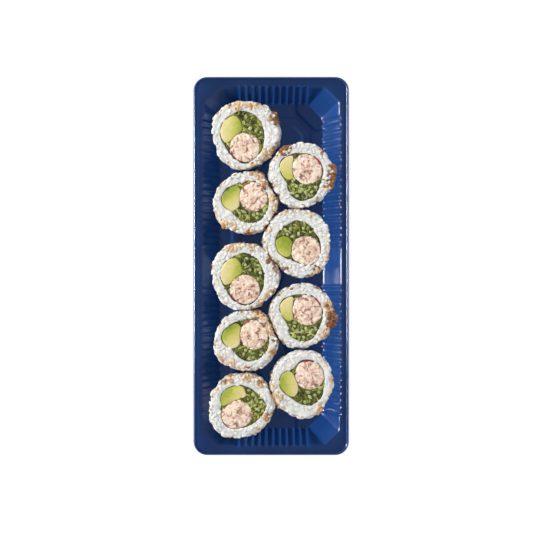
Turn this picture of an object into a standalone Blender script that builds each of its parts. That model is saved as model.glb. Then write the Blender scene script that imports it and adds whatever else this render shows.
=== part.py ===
"""Takeaway sushi tray: a thermoformed plastic tray holding nine inside-out sushi rolls.

The tray lies with its long side along Y and its open side up. Its origin is the
middle of its footprint, on the surface it stands on. The rolls stand cut face up in
two staggered columns. Each roll is a ring of rice, a thin tube of seaweed, and three
fillings that run through it: avocado, tuna salad and greens.
"""
import math

import bmesh
import bpy
from mathutils import Vector
from mathutils.geometry import delaunay_2d_cdt

MM = 0.001

# Settings of Blender's triangulation: its way of keeping what lies inside a loop, and how near
# two points are taken as one
KEEP_INSIDE = 1
POINT_TOLERANCE = 1e-5

# Tray, in millimetres: the rim
TRAY_WIDTH = 90.0
TRAY_LENGTH = 218.5
TRAY_HEIGHT = 22.0
SHEET = 0.5
CORNER_RADIUS = 8.0
CORNER_STEPS = 7
BEAD_RISE = 0.9
BEAD_HALF_WIDTH = 0.65
BEAD_STEPS = 4
SKIRT_DROP = 2.8
SKIRT_FLARE = 0.5
RIM_Z = TRAY_HEIGHT - BEAD_RISE

# Tray: the cavity's walls, as half sizes at the rim and at the floor
FLOOR_Z = 1.6
WALL_TOP = {"half_width": 38.9, "half_length": 102.8, "chamfer": 8.4}
WALL_FOOT = {"half_width": 30.0, "half_length": 95.4, "chamfer": 7.6}
FLUTE_PITCH = 3.95
SIDE_FLUTES = 19
END_FLUTES = 11
FLUTE_DEPTH = 1.0
PANEL_HALF_LENGTH = 10.0
SHEET_OUTSET = 0.3

# Tray: the floor's relief
RAISED_Z = 2.2
SLOPE_RUN = 1.0
RAISED_OCTAGON = {"half_width": 23.8, "half_length": 88.3, "chamfer": 8.8}
SUNKEN_OCTAGON = {"half_width": 18.6, "half_length": 83.0, "chamfer": 5.4}
DIAMOND_MIDDLES = (-52.0, 0.0, 52.0)
DIAMOND_REACH = (11.0, 20.0)
DIAMOND_RISE = 0.5
FOOT_STEPS = {"end": 7, "side": 35}
FOOT_DIAGONAL = 104.4

# Rolls
GAP = 0.3
ROLL_BASE_Z = RAISED_Z + GAP
FOOT_SCALE = 0.84
FOOT_LEAN = 3.2
WALL_CLEARANCE = 0.5
SEAWEED = 0.5
RICE_POINTS = 28
CORE_POINTS = 24
FILLING_POINTS = {"tuna": 18, "avocado": 16, "greens": 26}
MIN_RICE = 1.5
FILLING_GAP = 0.4
EDGE_GAP_SHARE = 0.5
SHRINK_STEP = 0.96
SQUEEZE_POWER = 26.0
LEAST_FACING = 0.05
WAVES = ((3, 1.0, 0.010), (5, 2.3, 0.008))

# Kinds of roll. "reach": how far the rice goes from the roll's middle in twelve directions, 30 degrees
# apart, anticlockwise from +X. "hole": the same for the opening that the seaweed lines.
# Fillings: middle, half sizes, turn in degrees, squareness (2 is an ellipse). Each is cut off by the
# seaweed and by the fillings above it in the list.
KIND_ONE = {
    "reach": (19.2, 20.6, 20.8, 19.8, 21.2, 21.0, 18.9, 19.1, 19.5, 19.3, 17.2, 18.4),
    "hole": (11.4, 11.8, 13.4, 14.5, 14.6, 15.6, 15.2, 13.4, 15.0, 16.6, 14.4, 12.4),
    "tuna": ((-0.3, -6.8), (8.6, 8.3), 0, 2.1),
    "avocado": ((-8.4, 3.4), (6.6, 8.1), 10, 2.7),
    "greens": ((4.6, 6.6), (15.0, 12.0), -50, 2.0),
}
KIND_TWO = {
    "reach": (19.8, 19.8, 20.4, 18.4, 17.9, 18.3, 17.1, 15.9, 17.8, 18.6, 18.4, 18.6),
    "hole": (13.8, 14.6, 14.4, 13.3, 13.8, 14.2, 11.0, 8.8, 12.4, 14.8, 15.2, 13.4),
    "tuna": ((4.4, 3.8), (8.7, 8.9), 0, 2.1),
    "avocado": ((-6.4, 4.4), (6.4, 7.4), -20, 1.8),
    "greens": ((3.0, -8.6), (11.5, 8.0), 6, 2.2),
}
KIND_THREE = {
    "reach": (19.5, 19.0, 21.6, 18.7, 17.4, 17.5, 17.7, 17.4, 16.3, 17.1, 17.9, 18.4),
    "hole": (15.4, 15.8, 16.0, 13.3, 12.8, 13.9, 13.0, 8.9, 8.6, 11.0, 13.0, 14.8),
    "tuna": ((6.0, 4.1), (8.1, 8.5), 0, 2.1),
    "avocado": ((-6.9, 3.2), (6.5, 8.0), -24, 1.8),
    "greens": ((3.4, -6.6), (12.0, 7.4), 6, 2.2),
}
KIND_FOUR = {
    "reach": (19.2, 20.0, 19.7, 19.6, 19.9, 19.4, 19.3, 17.0, 17.0, 20.0, 21.4, 20.6),
    "hole": (13.6, 12.3, 13.0, 12.9, 12.2, 13.0, 13.2, 13.0, 11.4, 12.2, 16.2, 16.0),
    "tuna": ((5.2, -5.4), (8.4, 9.2), 14, 2.2),
    "avocado": ((-7.4, -2.6), (5.2, 6.0), 15, 2.4),
    "greens": ((0.6, 7.8), (12.0, 6.6), -12, 2.2),
}
KIND_EIGHT = {
    "reach": (18.8, 18.4, 19.1, 19.1, 19.5, 18.7, 18.5, 20.4, 20.1, 18.2, 17.2, 17.6),
    "hole": (15.4, 12.8, 12.2, 12.6, 13.6, 14.3, 12.4, 14.2, 15.2, 13.2, 12.4, 13.0),
    "tuna": ((-2.7, -5.2), (8.9, 7.9), 35, 2.8),
    "avocado": ((-5.2, 5.6), (7.8, 7.4), 12, 2.6),
    "greens": ((7.6, 1.4), (8.4, 12.0), 30, 2.2),
}
KIND_NINE = {
    "reach": (18.1, 18.3, 20.2, 19.4, 17.8, 17.3, 17.8, 18.4, 18.5, 19.7, 20.0, 18.3),
    "hole": (13.5, 15.1, 15.8, 13.8, 10.6, 13.4, 14.0, 11.8, 10.8, 12.4, 14.6, 13.9),
    "tuna": ((4.5, 5.2), (8.4, 8.5), 0, 2.1),
    "avocado": ((-7.6, -0.2), (5.0, 7.9), 16, 2.2),
    "greens": ((3.8, -7.6), (11.0, 7.4), 8, 2.2),
}

# Each roll: kind, middle of its cut face, top height, phase of its unevenness
ROLLS = [
    (KIND_ONE, (-14.8, 74.4), 28.4, 0.4),
    (KIND_TWO, (16.3, 51.6), 29.0, 1.9),
    (KIND_THREE, (-16.1, 35.3), 28.0, 3.1),
    (KIND_FOUR, (14.8, 13.4), 28.6, 4.4),
    (KIND_ONE, (-14.8, -6.7), 28.9, 0.4),
    (KIND_TWO, (16.4, -28.8), 28.2, 1.9),
    (KIND_THREE, (-15.8, -43.3), 28.7, 3.1),
    (KIND_EIGHT, (-17.0, -80.1), 28.3, 5.2),
    (KIND_NINE, (17.5, -67.2), 28.8, 0.9),
]

# Levels of the rice, as (share of the way up, share of its reach)
RICE_LEVELS = ((0.0, 0.95), (0.12, 1.0), (0.86, 1.0), (1.0, 0.965))

COLOURS = {
    "tray": (0.016, 0.030, 0.095),
    "rice": (0.80, 0.78, 0.70),
    "nori": (0.012, 0.018, 0.008),
    "avocado": (0.50, 0.55, 0.16),
    "tuna": (0.76, 0.55, 0.42),
    "greens": (0.06, 0.13, 0.02),
}
SMOOTH_ANGLE = 32.0
ROUGHNESS = {"tray": 0.18, "rice": 0.45, "nori": 0.5, "avocado": 0.4, "tuna": 0.6, "greens": 0.5}


def clear_scene():
    for item in list(bpy.data.objects):
        bpy.data.objects.remove(item, do_unlink=True)


def make_material(name, kind):
    material = bpy.data.materials.new(name)
    material.use_nodes = True
    shader = material.node_tree.nodes["Principled BSDF"]
    shader.inputs["Base Color"].default_value = (*COLOURS[kind], 1.0)
    shader.inputs["Roughness"].default_value = ROUGHNESS[kind]
    return material


def add_solid(name, kind, bm):
    """Turn a closed bmesh in millimetres into a named object in metres."""
    bmesh.ops.triangulate(bm, faces=[face for face in bm.faces if len(face.verts) > 4])
    bmesh.ops.recalc_face_normals(bm, faces=bm.faces)
    if bm.calc_volume(signed=True) < 0:
        bmesh.ops.reverse_faces(bm, faces=bm.faces)
    bmesh.ops.scale(bm, vec=(MM, MM, MM), verts=bm.verts)
    mesh = bpy.data.meshes.new(name)
    bm.to_mesh(mesh)
    bm.free()
    mesh.materials.append(make_material(name + "_finish", kind))
    mesh.shade_smooth()
    mesh.set_sharp_from_angle(angle=math.radians(SMOOTH_ANGLE))
    solid = bpy.data.objects.new(name, mesh)
    bpy.context.scene.collection.objects.link(solid)
    return solid


# ---------------------------------------------------------------- loops and bands

def add_ring(bm, points, z):
    """Vertices of a closed loop at one height."""
    return [bm.verts.new((x, y, z)) for x, y in points]


def ring_edges(bm, ring):
    """The edges round a ring, made where there are none yet."""
    edges = []
    for index, vertex in enumerate(ring):
        pair = (ring[index - 1], vertex)
        edges.append(bm.edges.get(pair) or bm.edges.new(pair))
    return edges


def join_rings(bm, first, second):
    """A band of quads between two rings with the same number of points."""
    for index in range(len(first)):
        bm.faces.new((first[index - 1], first[index], second[index], second[index - 1]))


def fill_between(bm, outer, inner):
    """Flat triangles between two rings that lie in one level plane."""
    edges = ring_edges(bm, outer) + ring_edges(bm, inner)
    bmesh.ops.triangle_fill(bm, use_beauty=True, use_dissolve=False, edges=edges, normal=(0, 0, 1))


def grown(loop, margin):
    """A loop moved outwards by a margin, square to its edges; the loop runs anticlockwise."""
    moved = []
    for index, point in enumerate(loop):
        before = Vector(loop[index - 1])
        here = Vector(point)
        after = Vector(loop[(index + 1) % len(loop)])
        edge_in = (here - before).normalized()
        edge_out = (after - here).normalized()
        normal_in = Vector((edge_in.y, -edge_in.x))
        normal_out = Vector((edge_out.y, -edge_out.x))
        middle = (normal_in + normal_out).normalized()
        moved.append(tuple(here + middle * (margin / max(0.5, middle.dot(normal_in)))))
    return moved


def mirrored(quarter):
    """A closed loop from the points of its first quarter, which runs from +X to +Y."""
    second = [(-x, y) for x, y in reversed(quarter) if x > 0]
    third = [(-x, -y) for x, y in quarter if y > 0]
    fourth = [(x, -y) for x, y in reversed(quarter) if x > 0 and y > 0]
    return quarter + second + third + fourth


# ---------------------------------------------------------------- tray

def wall_loop(half_width, half_length, chamfer):
    """One level of the cavity's wall: fluted sides and ends, smooth panels, cut corners."""
    half_pitch = FLUTE_PITCH / 2
    quarter = [(half_width + FLUTE_DEPTH, 0.0), (half_width + FLUTE_DEPTH, PANEL_HALF_LENGTH)]
    for step in range(1, 2 * SIDE_FLUTES + 2):
        outset = 0.0 if step % 2 else FLUTE_DEPTH
        quarter.append((half_width + outset, PANEL_HALF_LENGTH + step * half_pitch))
    quarter.append((half_width, half_length - chamfer))
    quarter.append((half_width - chamfer, half_length))
    for step in range(END_FLUTES, -1, -1):
        outset = 0.0 if step % 2 else FLUTE_DEPTH
        quarter.append((step * half_pitch, half_length + outset))
    return mirrored(quarter)


def octagon(half_width, half_length, chamfer):
    """A rectangle with its four corners cut off."""
    return mirrored([(half_width, half_length - chamfer), (half_width - chamfer, half_length)])


def inset_octagon(shape, inset):
    """An octagon moved inwards by the same distance on all its edges."""
    chamfer = shape["chamfer"] - (2 - math.sqrt(2)) * inset
    return octagon(shape["half_width"] - inset, shape["half_length"] - inset, chamfer)


def diamond(middle_y, inset):
    """A diamond of the floor, moved inwards from its edge."""
    reach_x = DIAMOND_REACH[0] - inset
    reach_y = DIAMOND_REACH[1] * reach_x / DIAMOND_REACH[0]
    return [(reach_x, middle_y), (0.0, middle_y + reach_y), (-reach_x, middle_y), (0.0, middle_y - reach_y)]


def foot_place():
    """Where a corner foot's slope begins: its distance along the end wall and the side wall."""
    half_pitch = FLUTE_PITCH / 2
    return FOOT_STEPS["end"] * half_pitch, PANEL_HALF_LENGTH + FOOT_STEPS["side"] * half_pitch


def nearest_point(points, place):
    return min(points, key=lambda point: abs(point[0] - place[0]) + abs(point[1] - place[1]))


def foot_line(depth, wall):
    """A line round a corner foot at a depth down its slope, between two points of the wall."""
    end_x, side_y = foot_place()
    diagonal = FOOT_DIAGONAL + math.sqrt(2) * depth
    near_end = (end_x + depth, diagonal - end_x - depth)
    near_side = (diagonal - side_y - depth, side_y + depth)
    on_end = nearest_point(wall, (near_end[0], WALL_FOOT["half_length"]))
    on_side = nearest_point(wall, (WALL_FOOT["half_width"], near_side[1]))
    return [on_end, near_end, near_side, on_side]


def octagon_depth(x, y, shape):
    """How far inside an octagon's edge a point lies; below zero outside it."""
    cut = shape["half_width"] + shape["half_length"] - shape["chamfer"]
    corner = (cut - abs(x) - abs(y)) / math.sqrt(2)
    return min(shape["half_width"] - abs(x), shape["half_length"] - abs(y), corner)


def foot_depth(x, y):
    """How far down a corner foot's slope a point lies; below zero outside the foot."""
    end_x, side_y = foot_place()
    corner = (abs(x) + abs(y) - FOOT_DIAGONAL) / math.sqrt(2)
    return min(abs(x) - end_x, abs(y) - side_y, corner)


def diamond_depth(x, y):
    """How far inside the nearest diamond's edge a point lies, measured across the tray."""
    reach_x, reach_y = DIAMOND_REACH
    return max(reach_x * (1 - abs(x) / reach_x - abs(y - middle) / reach_y) for middle in DIAMOND_MIDDLES)


def share_of(depth, run):
    return min(1.0, max(0.0, depth / run))


def floor_height(x, y):
    """The height of the floor's upper face."""
    rise = (RAISED_Z - FLOOR_Z) * share_of(octagon_depth(x, y, RAISED_OCTAGON), SLOPE_RUN)
    sink = (RAISED_Z - FLOOR_Z) * share_of(octagon_depth(x, y, SUNKEN_OCTAGON), SLOPE_RUN)
    swell = DIAMOND_RISE * share_of(diamond_depth(x, y), SLOPE_RUN)
    foot = (FLOOR_Z - SHEET) * share_of(foot_depth(x, y), FLUTE_PITCH / 2)
    return FLOOR_Z + rise - sink + swell - foot


def floor_plan(wall):
    """The floor's points and triangles, seen from above, with an edge along every crease."""
    points = []
    edges = []

    def add_line(line, closed):
        places = []
        for point in line:
            if point not in points:
                points.append(point)
            places.append(points.index(point))
        pairs = list(zip(places, places[1:] + places[:1]))
        edges.extend(pairs if closed else pairs[:-1])

    add_line(wall, True)
    for shape in (RAISED_OCTAGON, SUNKEN_OCTAGON):
        add_line(inset_octagon(shape, 0.0), True)
        add_line(inset_octagon(shape, SLOPE_RUN), True)
    for middle_y in DIAMOND_MIDDLES:
        add_line(diamond(middle_y, 0.0), True)
        add_line(diamond(middle_y, SLOPE_RUN), True)
    for depth in (0.0, FLUTE_PITCH / 2):
        line = foot_line(depth, wall)
        for side_x in (1, -1):
            for side_y in (1, -1):
                add_line([(x * side_x, y * side_y) for x, y in line], False)
    outline = [list(range(len(wall)))]
    flat = [Vector(point) for point in points]
    result = delaunay_2d_cdt(flat, edges, outline, KEEP_INSIDE, POINT_TOLERANCE)
    return [tuple(point) for point in result[0]], result[2]


def rim_loop(inset):
    """The rim's outline, moved inwards by an inset."""
    radius = CORNER_RADIUS - inset
    middle_x = TRAY_WIDTH / 2 - CORNER_RADIUS
    middle_y = TRAY_LENGTH / 2 - CORNER_RADIUS
    quarter = []
    for step in range(CORNER_STEPS + 1):
        angle = math.radians(90 * step / CORNER_STEPS)
        quarter.append((middle_x + radius * math.cos(angle), middle_y + radius * math.sin(angle)))
    return mirrored(quarter)


def rim_rings(bm, drop):
    """Rings from the bead's inner foot over its top and down the flared skirt."""
    rings = []
    half_width = BEAD_HALF_WIDTH - drop
    for step in range(BEAD_STEPS + 1):
        angle = math.pi * (1 - step / BEAD_STEPS)
        inset = SKIRT_FLARE + BEAD_HALF_WIDTH - half_width * math.cos(angle)
        rings.append(add_ring(bm, rim_loop(inset), RIM_Z - drop + BEAD_RISE * math.sin(angle)))
    rings.append(add_ring(bm, rim_loop(drop), TRAY_HEIGHT - SKIRT_DROP))
    return rings


def tray_face(bm, under):
    """The tray's upper face, or its under face one sheet lower; returns the skirt's edge."""
    outset = SHEET_OUTSET if under else 0.0
    drop = SHEET if under else 0.0
    wall = wall_loop(**WALL_FOOT)
    plan, triangles = floor_plan(wall)
    heights = [floor_height(x, y) - drop for x, y in plan]
    plan[:len(wall)] = grown(plan[:len(wall)], outset)
    floor = [bm.verts.new((x, y, z)) for (x, y), z in zip(plan, heights)]
    for triangle in triangles:
        bm.faces.new([floor[index] for index in triangle])
    top = add_ring(bm, grown(wall_loop(**WALL_TOP), outset), RIM_Z - drop)
    join_rings(bm, floor[:len(wall)], top)
    rings = rim_rings(bm, drop)
    fill_between(bm, rings[0], top)
    for first, second in zip(rings, rings[1:]):
        join_rings(bm, first, second)
    return rings[-1]


def build_tray():
    bm = bmesh.new()
    join_rings(bm, tray_face(bm, False), tray_face(bm, True))
    return add_solid("tray", "tray", bm)


# ---------------------------------------------------------------- rolls

def share_of_height(z, top_z):
    return (z - ROLL_BASE_Z) / (top_z - ROLL_BASE_Z)


def middle_at(roll, z):
    """The roll's middle at a height: the sloping walls push its foot towards the tray's middle."""
    middle = Vector(roll["middle"])
    lean = FOOT_LEAN * (1 - share_of_height(z, roll["top_z"]))
    return Vector((middle.x - math.copysign(lean, middle.x), middle.y))


def scale_at(roll, z):
    return FOOT_SCALE + (1 - FOOT_SCALE) * share_of_height(z, roll["top_z"])


def cavity_limits(z):
    """The cavity's half width, half length and corner cut at a height, less the clearance."""
    share = (z - FLOOR_Z) / (RIM_Z - FLOOR_Z)
    mixed = {}
    for name in ("half_width", "half_length", "chamfer"):
        mixed[name] = WALL_FOOT[name] + (WALL_TOP[name] - WALL_FOOT[name]) * share
    half_width = mixed["half_width"] - WALL_CLEARANCE
    half_length = mixed["half_length"] - WALL_CLEARANCE
    return half_width, half_length, half_width + half_length - mixed["chamfer"]


def smooth_reach(reach, angle):
    """A reach between its given directions, along a smooth closed curve."""
    place = angle / math.tau * len(reach)
    low = int(math.floor(place))
    share = place - low
    before, first, second, after = (reach[(low + step) % len(reach)] for step in (-1, 0, 1, 2))
    bend = 2 * before - 5 * first + 4 * second - after
    twist = 3 * (first - second) + after - before
    return first + 0.5 * share * (second - before + share * (bend + share * twist))


def distances(roll, others, direction, z):
    """How far a ray from the roll's middle may go before each neighbour and each wall."""
    middle = middle_at(roll, z)
    half_width, half_length, cut = cavity_limits(z)
    limits = []
    for other in others:
        between = middle_at(other, z) - middle
        share = roll["size"] / (roll["size"] + other["size"])
        facing = direction.dot(between.normalized())
        if facing > LEAST_FACING:
            limits.append((between.length * share - GAP / 2) / facing)
    if abs(direction.x) > LEAST_FACING:
        limits.append((half_width - math.copysign(1, direction.x) * middle.x) / abs(direction.x))
    if abs(direction.y) > LEAST_FACING:
        limits.append((half_length - math.copysign(1, direction.y) * middle.y) / abs(direction.y))
    for corner in (Vector((1, 1)), Vector((1, -1)), Vector((-1, 1)), Vector((-1, -1))):
        facing = direction.dot(corner)
        if facing > LEAST_FACING:
            limits.append((cut - middle.dot(corner)) / facing)
    return limits


def rice_reach(roll, others, angle, z, bulge):
    """How far the rice goes in a direction: uneven where free and flat where pressed."""
    free = smooth_reach(roll["kind"]["reach"], angle)
    for waves, turn, depth in WAVES:
        free *= 1 + depth * math.sin(waves * angle + turn * roll["phase"])
    free *= bulge * scale_at(roll, z)
    direction = Vector((math.cos(angle), math.sin(angle)))
    limits = [free] + distances(roll, others, direction, z)
    return sum(limit ** -SQUEEZE_POWER for limit in limits) ** (-1 / SQUEEZE_POWER)


def polar_loop(middle, count, reach_at):
    """A closed loop round a middle, from a function that gives its reach at an angle."""
    points = []
    for index in range(count):
        angle = math.tau * index / count
        direction = Vector((math.cos(angle), math.sin(angle)))
        points.append(tuple(middle + direction * reach_at(angle)))
    return points


def roll_outline(roll, others, z, bulge):
    """The rice's outer loop at a height."""
    def reach_at(angle):
        return rice_reach(roll, others, angle, z, bulge)

    return polar_loop(middle_at(roll, z), RICE_POINTS, reach_at)


def hole_loop(roll, others, z):
    """The rice's inner loop at a height, kept clear of its outer one."""
    def reach_at(angle):
        wanted = smooth_reach(roll["kind"]["hole"], angle) * scale_at(roll, z)
        return min(wanted, rice_reach(roll, others, angle, z, RICE_LEVELS[-1][1]) - MIN_RICE)

    return polar_loop(middle_at(roll, z), CORE_POINTS, reach_at)


def ray_distance(start, direction, loop):
    """How far a ray goes before it meets a closed loop."""
    nearest = math.inf
    for index, point in enumerate(loop):
        first = Vector(loop[index - 1])
        along = Vector(point) - first
        turn = direction.cross(along)
        if turn == 0:
            continue
        offset = first - start
        distance = offset.cross(along) / turn
        share = offset.cross(direction) / turn
        if distance > 0 and 0 <= share <= 1:
            nearest = min(nearest, distance)
    return nearest


def filling_radius(shape, angle):
    """A filling's own half size in one direction: a rounded, turned rectangle or ellipse."""
    _, (half_x, half_y), turn, power = shape
    local = angle - math.radians(turn)
    across = abs(math.cos(local) / half_x) ** power
    along = abs(math.sin(local) / half_y) ** power
    return (across + along) ** (-1 / power)


def crosses(first, second, loop):
    """Whether a line between two points crosses a closed loop."""
    along = Vector(second) - Vector(first)
    return ray_distance(Vector(first), along, loop) < 1.0


def filling_loop(roll, name, z, bounds):
    """A filling's outline at a height, cut off by the loops that bound it."""
    shape = roll["kind"][name]
    scale = scale_at(roll, z)
    middle = middle_at(roll, z) + Vector(shape[0]) * scale
    count = FILLING_POINTS[name]
    directions = []
    reaches = []
    for index in range(count):
        angle = math.tau * index / count
        direction = Vector((math.cos(angle), math.sin(angle)))
        limits = [ray_distance(middle, direction, grown(loop, gap)) for loop, gap in bounds]
        directions.append(direction)
        reaches.append(min([filling_radius(shape, angle) * scale] + limits))

    def place(index):
        return middle + directions[index] * reaches[index]

    for index in [*range(count), *range(count)]:
        for loop, gap in bounds:
            while crosses(place(index - 1), place(index), grown(loop, gap * EDGE_GAP_SHARE)):
                longer = index if reaches[index] > reaches[index - 1] else index - 1
                reaches[longer] *= SHRINK_STEP
    return [tuple(place(index)) for index in range(count)]


def add_tube(name, kind_name, outer_levels, inner_levels):
    """A closed ring from loops at rising heights, outside and inside."""
    bm = bmesh.new()
    outer = [add_ring(bm, loop, z) for loop, z in outer_levels]
    inner = [add_ring(bm, loop, z) for loop, z in inner_levels]
    for rings in (outer, inner):
        for first, second in zip(rings, rings[1:]):
            join_rings(bm, first, second)
    for end in (0, -1):
        fill_between(bm, outer[end], inner[end])
    return add_solid(name, kind_name, bm)


def add_prism(name, kind_name, levels):
    """A closed solid from loops at rising heights."""
    bm = bmesh.new()
    rings = [add_ring(bm, loop, z) for loop, z in levels]
    for first, second in zip(rings, rings[1:]):
        join_rings(bm, first, second)
    for end in (0, -1):
        bm.faces.new(rings[end])
    return add_solid(name, kind_name, bm)


def build_roll(number, roll, others):
    """One roll as its five solids: rice, seaweed, tuna, avocado and greens."""
    height = roll["top_z"] - ROLL_BASE_Z
    outer = []
    for share, bulge in RICE_LEVELS:
        z = ROLL_BASE_Z + share * height
        outer.append((roll_outline(roll, others, z, bulge), z))
    ends = (ROLL_BASE_Z, roll["top_z"])
    hole = [(hole_loop(roll, others, z), z) for z in ends]
    sheet_outside = [(grown(loop, -GAP), z) for loop, z in hole]
    sheet_inside = [(grown(loop, -GAP - SEAWEED), z) for loop, z in hole]
    add_tube(f"rice_{number}", "rice", outer, hole)
    add_tube(f"nori_{number}", "nori", sheet_outside, sheet_inside)
    bounds = {z: [(grown(loop, -GAP - SEAWEED), -GAP)] for loop, z in hole}
    for name in FILLING_POINTS:
        levels = [(filling_loop(roll, name, z, bounds[z]), z) for z in ends]
        add_prism(f"{name}_{number}", name, levels)
        for loop, z in levels:
            bounds[z].append((loop, FILLING_GAP))


def build_rolls():
    rolls = []
    for kind, middle, top_z, phase in ROLLS:
        rolls.append({
            "kind": kind,
            "middle": middle,
            "size": sum(kind["reach"]) / len(kind["reach"]),
            "top_z": top_z,
            "phase": phase,
        })
    for index, roll in enumerate(rolls):
        others = rolls[:index] + rolls[index + 1:]
        build_roll(index + 1, roll, others)


clear_scene()
build_tray()
build_rolls()
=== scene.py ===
import math
import random

import bpy
import numpy as np
from mathutils import Matrix, Vector, noise
from mathutils.geometry import delaunay_2d_cdt


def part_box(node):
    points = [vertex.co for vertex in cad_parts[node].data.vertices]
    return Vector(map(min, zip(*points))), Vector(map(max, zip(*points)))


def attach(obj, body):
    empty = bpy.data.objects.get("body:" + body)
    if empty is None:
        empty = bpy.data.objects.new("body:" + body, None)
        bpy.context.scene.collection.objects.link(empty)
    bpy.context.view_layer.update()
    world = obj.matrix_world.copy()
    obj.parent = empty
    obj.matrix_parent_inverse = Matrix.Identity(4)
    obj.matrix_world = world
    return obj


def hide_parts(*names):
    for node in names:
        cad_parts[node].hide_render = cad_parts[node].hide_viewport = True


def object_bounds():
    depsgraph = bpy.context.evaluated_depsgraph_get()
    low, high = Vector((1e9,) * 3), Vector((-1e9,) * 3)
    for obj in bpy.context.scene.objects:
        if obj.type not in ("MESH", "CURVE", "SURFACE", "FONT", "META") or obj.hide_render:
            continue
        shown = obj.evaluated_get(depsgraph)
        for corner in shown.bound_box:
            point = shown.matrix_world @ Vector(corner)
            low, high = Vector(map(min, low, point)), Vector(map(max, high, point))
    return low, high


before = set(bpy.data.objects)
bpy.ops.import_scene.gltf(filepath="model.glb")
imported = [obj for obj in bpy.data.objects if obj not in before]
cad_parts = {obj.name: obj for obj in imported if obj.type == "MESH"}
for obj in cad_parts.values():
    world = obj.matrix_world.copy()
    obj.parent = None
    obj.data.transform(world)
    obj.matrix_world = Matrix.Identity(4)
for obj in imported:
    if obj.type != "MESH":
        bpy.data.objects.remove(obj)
CAD_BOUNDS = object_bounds()

# Lengths are in millimetres, and meshes are scaled to metres when they are made.
MM = 0.001
ROLL_NUMBERS = range(1, 10)
FOOD = []

# Loose pieces stop this far above the top of the solids
LOOSE_RISE = 0.6
FOOD_TOP = CAD_BOUNDS[1][2] / MM + LOOSE_RISE

# Edges that bend by less than this many degrees are smooth
TRAY_SMOOTH_ANGLE = 62.0
SEAWEED_SMOOTH_ANGLE = 50.0
STRIP_SMOOTH_ANGLE = 60.0
HEAP_SMOOTH_ANGLE = 70.0
FOOD_SMOOTH_ANGLE = 80.0

# Settings of the triangulation: its way of keeping what lies inside a loop, and how near two
# points are taken as one
KEEP_INSIDE = 1
POINT_TOLERANCE = 1e-6

# The tray, in the same forms and sizes as its solid
TRAY_LOW, TRAY_HIGH = (np.array(corner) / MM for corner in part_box("tray"))
TRAY_WIDTH, TRAY_LENGTH, TRAY_HEIGHT = TRAY_HIGH - TRAY_LOW
SHEET = 0.5
CORNER_RADIUS = 8.0
BEAD_RISE = 0.9
BEAD_HALF_WIDTH = 0.65
SKIRT_DROP = 2.8
SKIRT_FLARE = 0.5
RIM_Z = TRAY_HEIGHT - BEAD_RISE
RIM_INSET_SIDE = 6.1
RIM_INSET_END = 6.45
WALL_TOP = {"half_width": TRAY_WIDTH / 2 - RIM_INSET_SIDE, "half_length": TRAY_LENGTH / 2 - RIM_INSET_END,
            "chamfer": 8.4}
WALL_FOOT = {"half_width": 30.0, "half_length": 95.4, "chamfer": 7.6}
FLUTE_PITCH = 3.95
SIDE_FLUTES = 19
END_FLUTES = 11
FLUTE_DEPTH = 1.0
PANEL_HALF_LENGTH = 10.0
FLOOR_Z = 1.6
RAISED_Z = 2.2
SLOPE_RUN = 1.0
RAISED_OCTAGON = {"half_width": 23.8, "half_length": 88.3, "chamfer": 8.8}
SUNKEN_OCTAGON = {"half_width": 18.6, "half_length": 83.0, "chamfer": 5.4}
DIAMOND_MIDDLES = (-52.0, 0.0, 52.0)
DIAMOND_REACH = (11.0, 20.0)
DIAMOND_RISE = 0.5
FOOT_STEPS = {"end": 7, "side": 35}
FOOT_PLACE = (FOOT_STEPS["end"] * FLUTE_PITCH / 2, PANEL_HALF_LENGTH + FOOT_STEPS["side"] * FLUTE_PITCH / 2)
FOOT_DIAGONAL = 104.4

# The tray's finer forms: how sharp the flutes' ridges are, and how wide the wall's foot is rounded
RIDGE_POWER = 0.375
RIDGE_ROUNDING = 0.02
FOOT_ROUNDING = 0.65
GROOVE_WIDTH = 0.55
GROOVE_DEPTH = 0.1
GROOVE_SLOPE = 0.3

# Levels of the tray's wall: shares of its height, and (outset, rise) or (outset, drop) steps of
# its rounded foot and of its rounded upper edge
WALL_SHARES = (0.035, 0.06, 0.2, 0.35, 0.5, 0.65, 0.8, 0.92, 0.955)
FOOT_RINGS = ((-0.3, 0.04), (-0.08, 0.2))
EDGE_RINGS = ((0.08, 0.45), (0.25, 0.2), (0.5, 0.06), (0.85, 0.0))

# How finely the tray is sampled: points to each flute, panel, corner and edge, or where they lie
# as shares of a stretch, and the spacing and margin of the floor's points
FLUTE_SAMPLES = 14
PANEL_STEPS = 8
SIDE_END_SHARES = (0.35, 0.7, 0.9)
CHAMFER_SHARES = (0.04, 0.1, 0.3, 0.5, 0.7, 0.9, 0.96)
END_SHARES = (0.1, 0.3, 0.65)
RIM_CORNER_STEPS = 14
RIM_SIDE_STEPS = 6
RIM_END_STEPS = 3
BEAD_STEPS = 12
SKIRT_SHARES = (0.35, 0.7, 0.95, 1.0)
FLOOR_GRID = 0.9
FLOOR_MARGIN = 0.4

# Points round every loop of a roll
AROUND = 144
ANGLES = np.arange(AROUND) * math.tau / AROUND

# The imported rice: how far it lies inside the solid where the coat is thin or thick, how far below
# its top, how round its edges are, and how far and in what size its side swells and hollows;
# relief is (size, depth, seed)
BARE_INSET = 0.0
COATED_INSET = 0.35
CORE_DROP = 0.12
CORE_ROUNDING = 1.3
CORE_TURNS = (25, 50, 75)
CORE_FLAT_RINGS = 12
CORE_FLAT_LUMPS = 0.2
CORE_SIDE_RINGS = 20
CORE_FOOT_RISE = 0.1
CORE_FOOT_INSETS = (1.0, 2.5)
CORE_RELIEF = ((2.4, 0.24, 0), (1.1, 0.12, 20))
INNER_ROUNDING = 0.5
INNER_SHARE = 0.15
SIDE_LUMPS = 1.5
SIDE_LUMP_SIZE = 3.6
LUMP_SHARE = 0.8
SHEET_TO_RICE = 1.1

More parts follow.
